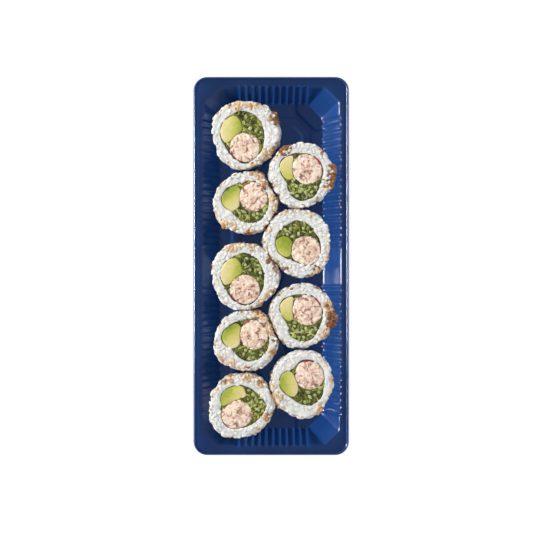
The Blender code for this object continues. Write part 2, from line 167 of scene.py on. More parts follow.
# Loose grains: their spacing on the cut face and round the side, how many places are tried, and
# (least, most) of each size
TOP_SPACING = 1.9
TOP_TRIES = 1100
TOP_GRAIN = ((3.0, 5.2), (1.9, 2.5), (0.9, 1.2))
SIDE_SPACING = 2.3
SIDE_TRIES = 1500
SIDE_GRAIN = ((4.2, 6.0), (1.9, 2.5), (1.7, 2.2))
SIDE_LOW_Z = 6.0
GRAIN_BLUNTNESS = 0.7

# The coat: spacing, how far thick places bulge and crumbs sink in, how thick and brown it is where
# nothing is listed, the thickness from which it shows, the share of seeds, and how wide it spills
# over the cut face's edge, from which thickness on and at what height
COAT_SPACING = 1.25
COAT_TRIES = 3600
COAT_BULGE = 0.4
COAT_SINK = 0.45
BARE_SHARE = 0.22
BARE_BROWN = 0.3
COATED_SHARE = 0.5
CRUMB_KINDS = 3
SEED_SHARE = 0.5
SEED_SIZE = ((2.6, 3.3), (1.5, 1.9), (0.7, 0.9))
SPILL_TRIES = 500
SPILL_WIDTH = 2.2
SPILL_SHARE = 1.1
SPILL_RISE = -0.05

# The fillings: how far they press outwards and how finely they are sampled; a form is (how far
# the middle rises, how round the edge is, relief as (size, depth) pairs)
FILLING_PRESS = 0.2
SIDE_RING_SHARES = (0.0, 0.5, 0.85, 0.95)
EDGE_TURNS = (0, 30, 60, 90)
CAP_RINGS = 19
TUNA_FORM = (0.5, 0.9, ((3.2, 0.3), (3.6, -0.45), (1.2, 0.2)))
AVOCADO_FORM = (0.25, 0.5, ((3.5, 0.15),))

# The greens: how far the bed of leaves lies below the cut face, and the spacing and sizes of the
# leaves' edges, which mostly lie near one bearing, and of the cucumber sticks
BED_DROP = 0.8
BED_RINGS = 12
LEAF_SPACING = 1.0
LEAF_TRIES = 1100
LEAF_TURN = -0.7
LEAF_DEPTH = 2.5
RIBBON_STEPS = 8
STICK_SPACING = 2.0
STICK_TRIES = 400
STICK_WIDTHS = ((1.6, 2.9), (1.3, 2.0))
STICK_LENGTH = 6.0

# Rolls 5, 6 and 7 look like 1, 2 and 3, so what follows is listed once for each kind of roll
TWINS = {5: 1, 6: 2, 7: 3}

# Each avocado slice: the bearing of the side that lay next to the skin, in degrees anticlockwise
# from +X, how green the slice is opposite and at that side, and how near the side the green stays
AVOCADOS = {1: (-5, 0.05, 1.1, 1.3), 2: (250, 0.0, 0.6, 1.3), 3: (130, 0.05, 1.05, 1.9),
            4: (70, 0.4, 0.95, 0.8), 8: (150, 0.05, 0.9, 1.8), 9: (180, 0.15, 0.95, 1.3)}

# Red leaf edges beside each tuna filling: (bearing, length, thickness, tone)
RED_CUTS = {
    1: ((215, 6.0, 0.8, 0.1), (250, 3.5, 0.6, 0.3)),
    2: ((40, 6.0, 0.9, 0.6),),
    3: ((120, 5.0, 0.9, 0.8), (50, 4.5, 0.8, 0.5), (205, 2.5, 0.6, 0.3)),
    9: ((95, 6.0, 0.8, 0.2),),
}

# Cucumber sticks in each kind of roll, and how much lighter its leaves are
STICK_COUNTS = {1: 8, 2: 13, 3: 8, 4: 9, 8: 9, 9: 7}
LEAF_BRIGHTNESS = {1: 0.0, 2: 0.05, 3: 0.02, 4: 0.03, 8: 0.14, 9: -0.14}

# Coated places on each kind of roll: (bearing, half width, how thick, how brown)
COATS = {
    1: ((92, 38, 1.1, 0.2), (28, 14, 1.0, 1.2), (-40, 28, 0.8, 0.35), (-78, 10, 0.6, 0.5)),
    2: ((124, 22, 0.8, 1.0), (54, 11, 1.0, 1.1), (-2, 27, 2.3, 1.2), (-45, 18, 0.8, 0.3),
        (200, 14, 0.3, 0.3)),
    3: ((30, 34, 1.0, 0.5), (70, 14, 0.8, 0.6), (-15, 18, 0.8, 0.5), (228, 32, 0.9, 0.35),
        (273, 9, 0.9, 0.95)),
    4: ((92, 30, 1.0, 0.3), (35, 22, 0.7, 0.4), (-5, 18, 0.6, 0.35), (-52, 26, 0.8, 0.9),
        (228, 26, 0.9, 0.7), (165, 22, 0.7, 0.3)),
    8: ((95, 34, 1.0, 0.3), (48, 14, 0.7, 0.4), (-22, 14, 0.9, 0.8), (-62, 14, 0.7, 0.4),
        (155, 16, 0.5, 0.3)),
    9: ((183, 16, 0.8, 0.4), (217, 20, 1.2, 0.45), (-60, 12, 0.8, 0.5), (2, 16, 0.7, 0.4),
        (-22, 9, 0.6, 0.6)),
}

# Colours, as linear light
PLASTIC_STOPS = [(0.3, (0.010, 0.045, 0.18)), (0.7, (0.013, 0.060, 0.22))]
# The darkest tuna stops are partly brown flecks and partly painted shade of crevices between the flakes
TUNA_STOPS = [(0.36, (0.12, 0.04, 0.02)), (0.41, (0.46, 0.23, 0.15)), (0.47, (0.70, 0.49, 0.37)),
              (0.60, (0.92, 0.77, 0.64))]
TUNA_RIM_STOPS = [(0.55, (0.74, 0.54, 0.42)), (1.0, (0.95, 0.82, 0.64))]
TUNA_CREAM_SHARE = 0.15
SEAWEED_STOPS = [(0.35, (0.010, 0.009, 0.005)), (0.70, (0.055, 0.036, 0.016))]
RICE_STOPS = [(0.30, (0.72, 0.70, 0.65)), (0.50, (0.80, 0.79, 0.75)), (0.70, (0.87, 0.86, 0.83))]
RICE_CORE_STOPS = [(0.30, (0.68, 0.66, 0.60)), (0.60, (0.80, 0.79, 0.75))]
AVOCADO_STOPS = [(0.10, (0.76, 0.67, 0.40)), (0.30, (0.70, 0.61, 0.26)), (0.45, (0.58, 0.55, 0.14)),
                 (0.60, (0.38, 0.42, 0.05)), (0.80, (0.24, 0.30, 0.022)), (0.88, (0.09, 0.13, 0.012))]
BED_STOPS = [(0.3, (0.030, 0.032, 0.005)), (0.5, (0.085, 0.10, 0.012)), (0.7, (0.20, 0.23, 0.04))]
LEAF_STOPS = [(0.20, (0.032, 0.033, 0.002)), (0.42, (0.11, 0.118, 0.006)), (0.62, (0.24, 0.25, 0.02)),
              (0.88, (0.54, 0.56, 0.17))]
RED_LEAF_STOPS = [(0.0, (0.10, 0.008, 0.015)), (0.5, (0.32, 0.03, 0.05)), (1.0, (0.60, 0.12, 0.14))]
STICK_STOPS = [(0.0, (0.17, 0.22, 0.04)), (0.5, (0.34, 0.40, 0.13)), (1.0, (0.52, 0.57, 0.30))]
SESAME_STOPS = [(0.0, (0.58, 0.36, 0.18)), (0.5, (0.74, 0.53, 0.32)), (1.0, (0.84, 0.68, 0.47))]
CRUMB_STOPS = [(0.0, (0.90, 0.76, 0.58)), (0.35, (0.78, 0.54, 0.31)), (0.65, (0.42, 0.19, 0.07)),
               (0.95, (0.12, 0.035, 0.009))]

# Stage and light, in metres; a light is (place, (width, length), watts, colour)
FLOOR_SIZE = 6.0
FLOOR_GAP = 0.0002
FLOOR_GLOW = 0.75
ZENITH_STRENGTH = 0.33
HORIZON_STRENGTH = 1.1
HORIZON_END = 0.1
ZENITH_START = 0.6
SKY_COLOUR = (0.97, 0.98, 1.0, 1.0)
TRAY_LIGHT = ((-1.7, 0.06, 0.10), (0.25, 0.5), 56.0, (1.0, 1.0, 1.0))
TRAY_FILL = ((1.7, -0.06, 0.35), (0.25, 0.5), 5.0, (0.9, 0.95, 1.0))
GLINT_LIGHT = ((-1.47, 0.08, 0.5), (0.4, 0.4), 80.0, (1.0, 1.0, 1.0))
FOOD_LIGHT = ((-0.85, 0.4, 0.9), (0.5, 0.5), 15.0, (1.0, 0.99, 0.97))
FOOD_FILL = ((0.8, -0.2, 0.9), (0.8, 0.8), 1.8, (0.97, 0.98, 1.0))

# Camera: straight above the tray, a little off its middle
CAMERA_PLACE = (-0.72, -2.3, 750.0)
CAMERA_LENS = 84.4


# ---------------------------------------------------------------- mesh helpers

def new_piece(name, verts, faces, material, slot, smooth_angle=FOOD_SMOOTH_ANGLE):
    """A mesh object from points in millimetres, riding on the tray's body."""
    mesh = bpy.data.meshes.new(name)
    mesh.from_pydata((np.asarray(verts, float) * MM).tolist(), [], faces)
    mesh.validate()
    mesh.shade_smooth()
    mesh.set_sharp_from_angle(angle=math.radians(smooth_angle))
    mesh.materials.append(material)
    piece = bpy.data.objects.new(name, mesh)
    bpy.context.scene.collection.objects.link(piece)
    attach(piece, "root")
    if slot != "navy_plastic":
        FOOD.append(piece)
    return piece


def store_values(piece, attribute, values):
    """Keeps a value for each point of a piece, which its material reads."""
    store = piece.data.attributes.new(attribute, "FLOAT", "POINT")
    store.data.foreach_set("value", np.asarray(values, np.float32))


def band_faces(rings, count, closed=False):
    """Quads between rings of the same number of points, one after another."""
    faces = []
    for ring in range(rings if closed else rings - 1):
        low = ring * count
        high = ((ring + 1) % rings) * count
        for index in range(count):
            after = (index + 1) % count
            faces.append((low + index, low + after, high + after, high + index))
    return faces


def share_of(value, run):
    """A smooth step from 0 to 1 as the value goes from 0 to the run."""
    share = min(1.0, max(0.0, value / run))
    return share * share * (3 - 2 * share)


# ---------------------------------------------------------------- tray

def flute(steps):
    """How far a fluted wall stands out at a number of half pitches: round grooves, narrow ridges."""
    swing = math.cos(math.pi * steps / 2) ** 2
    low = RIDGE_ROUNDING ** RIDGE_POWER
    high = (1 + RIDGE_ROUNDING) ** RIDGE_POWER
    return FLUTE_DEPTH * ((swing + RIDGE_ROUNDING) ** RIDGE_POWER - low) / (high - low)


def wall_loop(half_width, half_length, chamfer):
    """One level of the cavity's wall, finely sampled: flutes, smooth panels and cut corners."""
    half_pitch = FLUTE_PITCH / 2
    quarter = []
    for step in range(PANEL_STEPS):
        quarter.append((half_width + FLUTE_DEPTH, PANEL_HALF_LENGTH * step / PANEL_STEPS))
    for sample in range((2 * SIDE_FLUTES + 1) * FLUTE_SAMPLES // 2 + 1):
        steps = sample * 2 / FLUTE_SAMPLES
        quarter.append((half_width + flute(steps), PANEL_HALF_LENGTH + steps * half_pitch))
    start_y = quarter[-1][1]
    for share in SIDE_END_SHARES:
        quarter.append((half_width, start_y + (half_length - chamfer - start_y) * share))
    corner = Vector((half_width - chamfer, half_length - chamfer))
    for share in CHAMFER_SHARES:
        quarter.append((corner.x + chamfer * (1 - share), corner.y + chamfer * share))
    end_x = END_FLUTES * half_pitch
    for share in END_SHARES:
        quarter.append((corner.x + (end_x - corner.x) * share, half_length))
    for sample in range(END_FLUTES * FLUTE_SAMPLES // 2, -1, -1):
        steps = sample * 2 / FLUTE_SAMPLES
        quarter.append((steps * half_pitch, half_length + flute(steps)))
    return mirrored(quarter)


def mirrored(quarter):
    """A closed loop from the points of its first quarter, which runs from +X to +Y."""
    second = [(-x, y) for x, y in reversed(quarter) if x > 0]
    third = [(-x, -y) for x, y in quarter if y > 0]
    fourth = [(x, -y) for x, y in reversed(quarter) if x > 0 and y > 0]
    return quarter + second + third + fourth


def octagon_depth(x, y, shape):
    """How far inside an octagon's edge a point lies; below zero outside it."""
    cut = shape["half_width"] + shape["half_length"] - shape["chamfer"]
    corner = (cut - abs(x) - abs(y)) / math.sqrt(2)
    return min(shape["half_width"] - abs(x), shape["half_length"] - abs(y), corner)


def floor_height(x, y):
    """The height of the floor's upper face: corner feet, raised frame, sunken panel, diamonds."""
    rise = RAISED_Z - FLOOR_Z
    corner = (abs(x) + abs(y) - FOOT_DIAGONAL) / math.sqrt(2)
    foot = min(abs(x) - FOOT_PLACE[0], abs(y) - FOOT_PLACE[1], corner)
    reach_x, reach_y = DIAMOND_REACH
    diamond = max(reach_x * (1 - abs(x) / reach_x - abs(y - middle) / reach_y) for middle in DIAMOND_MIDDLES)
    height = FLOOR_Z + rise * share_of(octagon_depth(x, y, RAISED_OCTAGON), SLOPE_RUN)
    height -= rise * share_of(octagon_depth(x, y, SUNKEN_OCTAGON), SLOPE_RUN)
    height += DIAMOND_RISE * share_of(diamond, SLOPE_RUN)
    return height - (FLOOR_Z - SHEET) * share_of(foot, FLUTE_PITCH / 2)


def floor_points(loop):
    """A fine triangulation of the floor inside the wall's foot; its first points are the loop's."""
    points = [Vector(point) for point in loop]
    half_width = WALL_FOOT["half_width"] - FOOT_ROUNDING
    half_length = WALL_FOOT["half_length"] - FOOT_ROUNDING
    cut = half_width + half_length - WALL_FOOT["chamfer"]
    for row in range(int(2 * half_length / FLOOR_GRID) + 1):
        y = -half_length + row * FLOOR_GRID
        for column in range(int(2 * half_width / FLOOR_GRID) + 1):
            x = -half_width + (column + 0.5 * (row % 2)) * FLOOR_GRID
            if min(half_width - abs(x), half_length - abs(y), cut - abs(x) - abs(y)) > FLOOR_MARGIN:
                points.append(Vector((x, y)))
    edges = [(index, (index + 1) % len(loop)) for index in range(len(loop))]
    outline = [list(range(len(loop)))]
    result = delaunay_2d_cdt(points, edges, outline, KEEP_INSIDE, POINT_TOLERANCE)
    return result[0], result[2]


def rim_loop(inset):
    """The rim's outline, moved inwards by an inset, with rounded corners."""
    radius = CORNER_RADIUS - inset
    middle_x = TRAY_WIDTH / 2 - CORNER_RADIUS
    middle_y = TRAY_LENGTH / 2 - CORNER_RADIUS
    quarter = [(middle_x + radius, middle_y * step / RIM_SIDE_STEPS) for step in range(RIM_SIDE_STEPS)]
    for step in range(RIM_CORNER_STEPS + 1):
        angle = math.radians(90 * step / RIM_CORNER_STEPS)
        quarter.append((middle_x + radius * math.cos(angle), middle_y + radius * math.sin(angle)))
    for step in reversed(range(RIM_END_STEPS)):
        quarter.append((middle_x * step / RIM_END_STEPS, middle_y + radius))
    return mirrored(quarter)


def rim_profile():
    """The rim in section, as (inset, height) pairs: a shallow groove, the bead, the flared skirt."""
    bead_foot = SKIRT_FLARE + 2 * BEAD_HALF_WIDTH
    profile = [(bead_foot + GROOVE_WIDTH, RIM_Z), (bead_foot + GROOVE_SLOPE, RIM_Z - GROOVE_DEPTH)]
    for step in range(BEAD_STEPS + 1):
        angle = math.pi * step / BEAD_STEPS
        inset = SKIRT_FLARE + BEAD_HALF_WIDTH * (1 + math.cos(angle))
        profile.append((inset, RIM_Z + BEAD_RISE * math.sin(angle)))
    skirt_z = TRAY_HEIGHT - SKIRT_DROP
    for share in SKIRT_SHARES:
        profile.append((SKIRT_FLARE * (1 - share), RIM_Z + (skirt_z - RIM_Z) * share))
    return profile


def mixed_level(share):
    """The wall's sizes part of the way up from its foot to its top."""
    return {name: low + (WALL_TOP[name] - low) * share for name, low in WALL_FOOT.items()}


def is_inside(x, y, loop):
    """Whether a point lies inside a closed loop."""
    inside = False
    for (x1, y1), (x2, y2) in zip(loop, loop[1:] + loop[:1]):
        if (y1 > y) != (y2 > y) and x < x1 + (x2 - x1) * (y - y1) / (y2 - y1):
            inside = not inside
    return inside


def flat_between(outer, inner):
    """Triangles of the level band between two nested loops; points are the outer's, then the inner's."""
    points = [Vector(point) for point in outer + inner]
    edges = []
    for start, count in ((0, len(outer)), (len(outer), len(inner))):
        edges.extend((start + index, start + (index + 1) % count) for index in range(count))
    outline = [list(range(len(outer)))]
    faces = []
    for face in delaunay_2d_cdt(points, edges, outline, KEEP_INSIDE, POINT_TOLERANCE)[2]:
        middle = sum((points[index] for index in face), Vector((0.0, 0.0))) / len(face)
        if not is_inside(middle.x, middle.y, inner):
            faces.append(face)
    return faces


def moved_loop(wall, outset):
    """A line of the wall, moved outwards or inwards."""
    return wall_loop(wall["half_width"] + outset, wall["half_length"] + outset, wall["chamfer"])


def tray_skin():
    """The tray's upper face as points and faces, from the floor over the wall to the skirt."""
    foot = moved_loop(WALL_FOOT, -FOOT_ROUNDING)
    count = len(foot)
    plan, faces = floor_points(foot)
    verts = [(point[0], point[1], floor_height(*point)) for point in plan]
    heights = [vert[2] for vert in verts[:count]]
    last = list(range(count))

    def add_band(loop, level_heights):
        """A further ring of points, joined to the last one by a band of quads."""
        start = len(verts)
        verts.extend((x, y, z) for (x, y), z in zip(loop, level_heights))
        ring = list(range(start, start + len(loop)))
        for index in range(len(loop)):
            before = index - 1
            faces.append((last[before], ring[before], ring[index], last[index]))
        return ring

    for outset, rise in FOOT_RINGS:
        last = add_band(moved_loop(WALL_FOOT, outset), [z + rise for z in heights])
    for share in WALL_SHARES:
        level = [z + (RIM_Z - z) * share for z in heights]
        last = add_band(wall_loop(**mixed_level(share)), level)
    for outset, drop in EDGE_RINGS:
        last = add_band(moved_loop(WALL_TOP, outset), [RIM_Z - drop] * count)
    profile = rim_profile()
    first = rim_loop(profile[0][0])
    start = len(verts)
    verts.extend((x, y, profile[0][1]) for x, y in first)
    ring = list(range(start, start + len(first)))
    names = ring + last
    inner = [verts[index][:2] for index in last]
    faces.extend(tuple(names[index] for index in face) for face in flat_between(first, inner))
    last = ring
    for inset, z in profile[1:]:
        last = add_band(rim_loop(inset), [z] * len(first))
    return verts, faces


def build_tray():
    """The tray with its thickness under the upper face."""
    verts, faces = tray_skin()
    tray = new_piece("tray_shell", verts, faces, plastic_material(), "navy_plastic", TRAY_SMOOTH_ANGLE)
    thick = tray.modifiers.new("sheet", "SOLIDIFY")
    thick.thickness = SHEET * MM
    thick.offset = -1.0
    thick.use_even_offset = True
    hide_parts("tray")
    return tray


# ---------------------------------------------------------------- materials

class Surface:
    """A procedural material and the patterns that feed its shader."""

    def __init__(self, name, roughness):
        self.material = bpy.data.materials.new(name)
        self.material.use_nodes = True
        self.nodes = self.material.node_tree.nodes
        self.links = self.material.node_tree.links
        self.inputs = self.nodes["Principled BSDF"].inputs
        self.inputs["Roughness"].default_value = roughness

    def noise(self, size_mm, detail=4.0, distortion=0.0):
        """A noise pattern whose features are about size_mm across, fixed to the piece."""
        place = self.nodes.new("ShaderNodeTexCoord")
        pattern = self.nodes.new("ShaderNodeTexNoise")
        pattern.inputs["Scale"].default_value = 1.0 / (size_mm * MM)
        pattern.inputs["Detail"].default_value = detail
        pattern.inputs["Distortion"].default_value = distortion
        self.links.new(place.outputs["Object"], pattern.inputs["Vector"])
        return pattern.outputs["Fac"]

    def values(self, attribute):
        """The values that a piece keeps for its points."""
        reader = self.nodes.new("ShaderNodeAttribute")
        reader.attribute_name = attribute
        return reader.outputs["Fac"]

    def ramp(self, factor, stops):
        """A colour ramp through (place, colour) stops."""
        ramp = self.nodes.new("ShaderNodeValToRGB")
        elements = ramp.color_ramp.elements
        while len(elements) < len(stops):
            elements.new(0.5)
        for element, (place, colour) in zip(elements, stops):
            element.position = place
            element.color = (*colour, 1.0)
        self.links.new(factor, ramp.inputs["Fac"])
        return ramp.outputs["Color"]

    def mix(self, kind, first, second, share):
        """Two colours or two values blended, with the second one's share."""
        mix = self.nodes.new("ShaderNodeMix")
        mix.data_type = kind
        mix.inputs["Factor"].default_value = share
        self.links.new(first, mix.inputs["A"])
        self.links.new(second, mix.inputs["B"])
        return mix.outputs["Result"]

    def colour(self, output):
        """Gives the shader its colour."""
        self.links.new(output, self.inputs["Base Color"])

    def bump(self, height, depth_mm, strength):
        """Gives the shader relief, from a pattern."""
        bump = self.nodes.new("ShaderNodeBump")
        bump.inputs["Distance"].default_value = depth_mm * MM
        bump.inputs["Strength"].default_value = strength
        self.links.new(height, bump.inputs["Height"])
        self.links.new(bump.outputs["Normal"], self.inputs["Normal"])

    def soften(self, weight, radius_mm, colour=(1.0, 0.6, 0.4)):
        """How much light soaks into a food, how far, and in what colour."""
        self.inputs["Subsurface Weight"].default_value = weight
        self.inputs["Subsurface Radius"].default_value = colour
        self.inputs["Subsurface Scale"].default_value = radius_mm * MM


def plastic_material():
    """Glossy navy sheet with a faint ripple and cloudiness."""
    surface = Surface("navy_plastic", 0.16)
    surface.inputs["Specular IOR Level"].default_value = 0.4
    surface.colour(surface.ramp(surface.noise(25.0, 2.0), PLASTIC_STOPS))
    surface.bump(surface.noise(6.0, 2.0), 0.06, 0.35)
    return surface.material


def rice_material(name, stops):
    """Cooked rice: white and slightly see-through, with greyer and creamier grains."""
    surface = Surface(name, 0.5)
    surface.colour(surface.ramp(surface.noise(2.6, 3.0), stops))
    surface.soften(0.5, 1.6, (1.0, 0.9, 0.8))
    surface.bump(surface.noise(0.6), 0.08, 0.4)
    return surface.material


def seaweed_material():
    """Dark seaweed, brownish where it is wet."""
    surface = Surface("seaweed", 0.45)
    surface.colour(surface.ramp(surface.noise(3.0), SEAWEED_STOPS))
    surface.bump(surface.noise(1.0), 0.1, 0.6)
    return surface.material


def bed_material():
    """Dressed leaves under the cut edges."""
    surface = Surface("greens_bed", 0.45)
    surface.colour(surface.ramp(surface.noise(1.3, 5.0, 0.5), BED_STOPS))
    surface.bump(surface.noise(0.7), 0.3, 0.9)
    return surface.material


def tuna_material():
    """Creamy pink flakes with a pale dressing between them, and dark red-brown spots that are partly brown
    flecks and partly painted shade in crevices.
    """
    surface = Surface("tuna_salad", 0.42)
    # The pattern's dark spots are painted crevice shade as well as brown flecks
    flakes = surface.ramp(surface.noise(2.8, 7.0, 1.2), TUNA_STOPS)
    cream = surface.ramp(surface.values("rim"), TUNA_RIM_STOPS)
    surface.colour(surface.mix("RGBA", flakes, cream, TUNA_CREAM_SHARE))
    surface.soften(0.15, 1.0)
    surface.bump(surface.noise(0.8, 6.0, 0.6), 0.25, 0.8)
    return surface.material


def shaded_material(name, attribute, stops, roughness, grain_mm, bump_mm, share, softness=0.1):
    """A food material whose colour follows a piece's own values, broken up by a fine pattern."""
    surface = Surface(name, roughness)
    place = surface.mix("FLOAT", surface.values(attribute), surface.noise(grain_mm), share)
    surface.colour(surface.ramp(place, stops))
    surface.soften(softness, 0.8)
    surface.bump(surface.noise(grain_mm / 2), bump_mm, 0.7)
    return surface.material


def food_materials():
    """Every food's material by name."""
    return {
        "rice": rice_material("rice", RICE_STOPS),
        "rice_core": rice_material("rice_core", RICE_CORE_STOPS),
        "seaweed": seaweed_material(),
        "tuna": tuna_material(),
        "avocado": shaded_material("avocado", "ripeness", AVOCADO_STOPS, 0.33, 2.0, 0.2, 0.3, 0.15),
        "bed": bed_material(),
        "leaf": shaded_material("leaf", "tone", LEAF_STOPS, 0.4, 1.2, 0.1, 0.25),
        "red_leaf": shaded_material("red_leaf", "tone", RED_LEAF_STOPS, 0.35, 1.2, 0.1, 0.25),
        "stick": shaded_material("cucumber", "tone", STICK_STOPS, 0.3, 1.5, 0.1, 0.3, 0.2),
        "sesame": shaded_material("sesame", "tone", SESAME_STOPS, 0.4, 1.0, 0.05, 0.2),
        "crumb": shaded_material("toasted_crumbs", "tone", CRUMB_STOPS, 0.5, 0.8, 0.2, 0.35),
    }


# ---------------------------------------------------------------- outlines read from the solids

def level_points(node):
    """A solid's corner points by height, lowest first: a list of (height, points)."""
    levels = {}
    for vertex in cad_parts[node].data.vertices:
        x, y, z = (value / MM for value in vertex.co)
        levels.setdefault(round(z, 2), set()).add((round(x, 3), round(y, 3)))
    return [(z, np.array(sorted(levels[z]))) for z in sorted(levels)]


def smoothed(radii, width):
    """Radii with their corners rounded over a number of steps to each side."""
    return sum(np.roll(radii, step) for step in range(-width, width + 1)) / (2 * width + 1)


def at_angle(radii, angle):
    """A loop's radius at an angle or at each of several angles."""
    return np.interp(angle, ANGLES, radii, period=math.tau)


def polar_radii(points, middle):
    """A loop's distance from its middle at the AROUND angles, with its corners rounded."""
    offsets = points - middle
    angles = np.arctan2(offsets[:, 1], offsets[:, 0]) % math.tau
    order = np.argsort(angles)
    radii = np.interp(ANGLES, angles[order], np.hypot(*offsets.T)[order], period=math.tau)
    return smoothed(smoothed(radii, 2), 2)


def ring(middle, radii, z):
    """Points round a middle at one height, or at a height for each angle."""
    x = middle[0] + radii * np.cos(ANGLES)
    y = middle[1] + radii * np.sin(ANGLES)
    return np.stack([x, y, np.broadcast_to(z, ANGLES.shape)], axis=1)


def cap_loops(node, lowest=False):
    """The outlines of a solid's level top or bottom: (height, loops), the longest loop first."""
    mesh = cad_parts[node].data
    heights = [round(vertex.co.z / MM, 2) for vertex in mesh.vertices]
    level = min(heights) if lowest else max(heights)
    places = {}
    keys = []
    for vertex, height in zip(mesh.vertices, heights):
        x, y = round(vertex.co.x / MM, 3), round(vertex.co.y / MM, 3)
        keys.append((x, y) if height == level else None)
        places[(x, y)] = np.array([x, y])
    links = {}
    for polygon in mesh.polygons:
        corners = [keys[index] for index in polygon.vertices]
        if None in corners:
            continue
        for first, second in zip(corners, corners[1:] + corners[:1]):
            if links.get(second) and first in links[second]:
                links[second].remove(first)
            else:
                links.setdefault(first, []).append(second)
    loops = []
    while any(links.values()):
        here = next(key for key, after in links.items() if after)
        loop = []
        while links.get(here):
            loop.append(places[here])
            here = links[here].pop()
        loops.append(np.array(loop))
    loops.sort(key=lambda loop: -np.linalg.norm(np.diff(loop, axis=0), axis=1).sum())
    return level, loops


def ray_radii(loop, middle):
    """How far a closed loop lies from a middle at the AROUND angles."""
    radii = np.full(AROUND, np.inf)
    directions = np.stack([np.cos(ANGLES), np.sin(ANGLES)], axis=1)
    for first, second in zip(loop, np.roll(loop, -1, axis=0)):
        along = second - first
        offset = first - middle
        turn = directions[:, 0] * along[1] - directions[:, 1] * along[0]
        with np.errstate(divide="ignore", invalid="ignore"):
            distance = (offset[0] * along[1] - offset[1] * along[0]) / turn
            share = (offset[0] * directions[:, 1] - offset[1] * directions[:, 0]) / turn
        hit = (distance > 0) & (share >= -POINT_TOLERANCE) & (share <= 1 + POINT_TOLERANCE)
        radii = np.where(hit, np.minimum(radii, distance), radii)
    return radii


def solid_span(node):
    """A filling's lower and upper loops: (height, middle, radii) of each."""
    span = []
    for lowest in (True, False):
        z, loops = cap_loops(node, lowest)
        middle = loops[0].mean(axis=0)
        span.append((z, middle, smoothed(ray_radii(loops[0], middle), 3)))
    return span


def between(low, high, share):
    """The (height, middle, radii) part of the way from one loop to another."""
    return tuple(a + (b - a) * share for a, b in zip(low, high))


class Roll:
    """One roll's form, read from its solids."""

    def __init__(self, number):
        self.number = number
        self.kind = TWINS.get(number, number)
        self.sheet = []
        self.middles = []
        self.heights = []
        for lowest in (True, False):
            z, (outside, inside) = cap_loops(f"nori_{number}", lowest)
            middle = inside.mean(axis=0)
            self.heights.append(z)
            self.middles.append(middle)
            self.sheet.append([smoothed(ray_radii(loop, middle), 2) for loop in (outside, inside)])
        self.inside = inside
        self.taken = [cap_loops(f"{name}_{number}")[1][0] for name in ("tuna", "avocado")]
        self.low_z, self.top_z = self.heights
        coated = np.clip([toasting(self, angle)[0] for angle in ANGLES], 0.0, 1.0)
        self.inset = smoothed(BARE_INSET + (COATED_INSET - BARE_INSET) * coated, 2)
        self.rice = [(z, self.outer_loop(z, points)) for z, points in level_points(f"rice_{number}")]
        self.hole = self.hole_radii()

    def share(self, z):
        """How far up the roll a height lies, from 0 to 1."""
        return (z - self.low_z) / (self.top_z - self.low_z)

    def middle(self, z):
        """The roll's middle at a height."""
        low, top = self.middles
        return low + (top - low) * self.share(z)

    def sheet_radii(self, z):
        """The seaweed's outer and inner radii at a height."""
        share = self.share(z)
        return tuple(low + (high - low) * share for low, high in zip(*self.sheet))

    def outer_loop(self, z, points):
        """The rice's outer radii from its solid's points at a height."""
        middle = self.middle(z)
        offsets = points - middle
        angles = np.arctan2(offsets[:, 1], offsets[:, 0]) % math.tau
        limit = at_angle(self.sheet_radii(z)[0] + SHEET_TO_RICE, angles)
        return polar_radii(points[np.hypot(*offsets.T) > limit], middle)

    def outer_radii(self, z):
        """The rice's outer radii at a height."""
        heights = [level[0] for level in self.rice]
        place = np.interp(z, heights, range(len(heights)))
        low = min(int(place), len(heights) - 2)
        share = place - low
        return self.rice[low][1] * (1 - share) + self.rice[low + 1][1] * share

    def hole_radii(self):
        """The cut rice's inner edge: beside the seaweed in places, pressed over its edge in others."""
        outside, inside = self.sheet_radii(self.top_z)
        around = [(5 * math.cos(angle), 5 * math.sin(angle), self.number) for angle in ANGLES]
        cover = np.clip(0.9 + 1.6 * bumps(around, 2.4, 14), 0.0, 1.0)
        return inside + 0.1 + (outside - inside) * (1 - cover) + 0.12 * bumps(around, 1.0, 5)

    def surface_point(self, angle, z):
        """A point on the rice's side and the direction straight out from it."""
        out = Vector((math.cos(angle), math.sin(angle), 0.0))
        return Vector((*self.middle(z), z)) + out * at_angle(self.outer_radii(z), angle), out


# ---------------------------------------------------------------- rice, seaweed and fillings

def bumps(points, size_mm, seed):
    """A smooth random value for each point, from -1 to 1, with features about size_mm across."""
    shift = Vector((seed * 17.3, seed * 5.1, seed * 9.7))
    return np.array([noise.noise(Vector(point) / size_mm + shift) for point in points])


def side_lumps(points, roll):
    """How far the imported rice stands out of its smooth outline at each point."""
    return SIDE_LUMPS * bumps(points, SIDE_LUMP_SIZE, roll.number + 40)


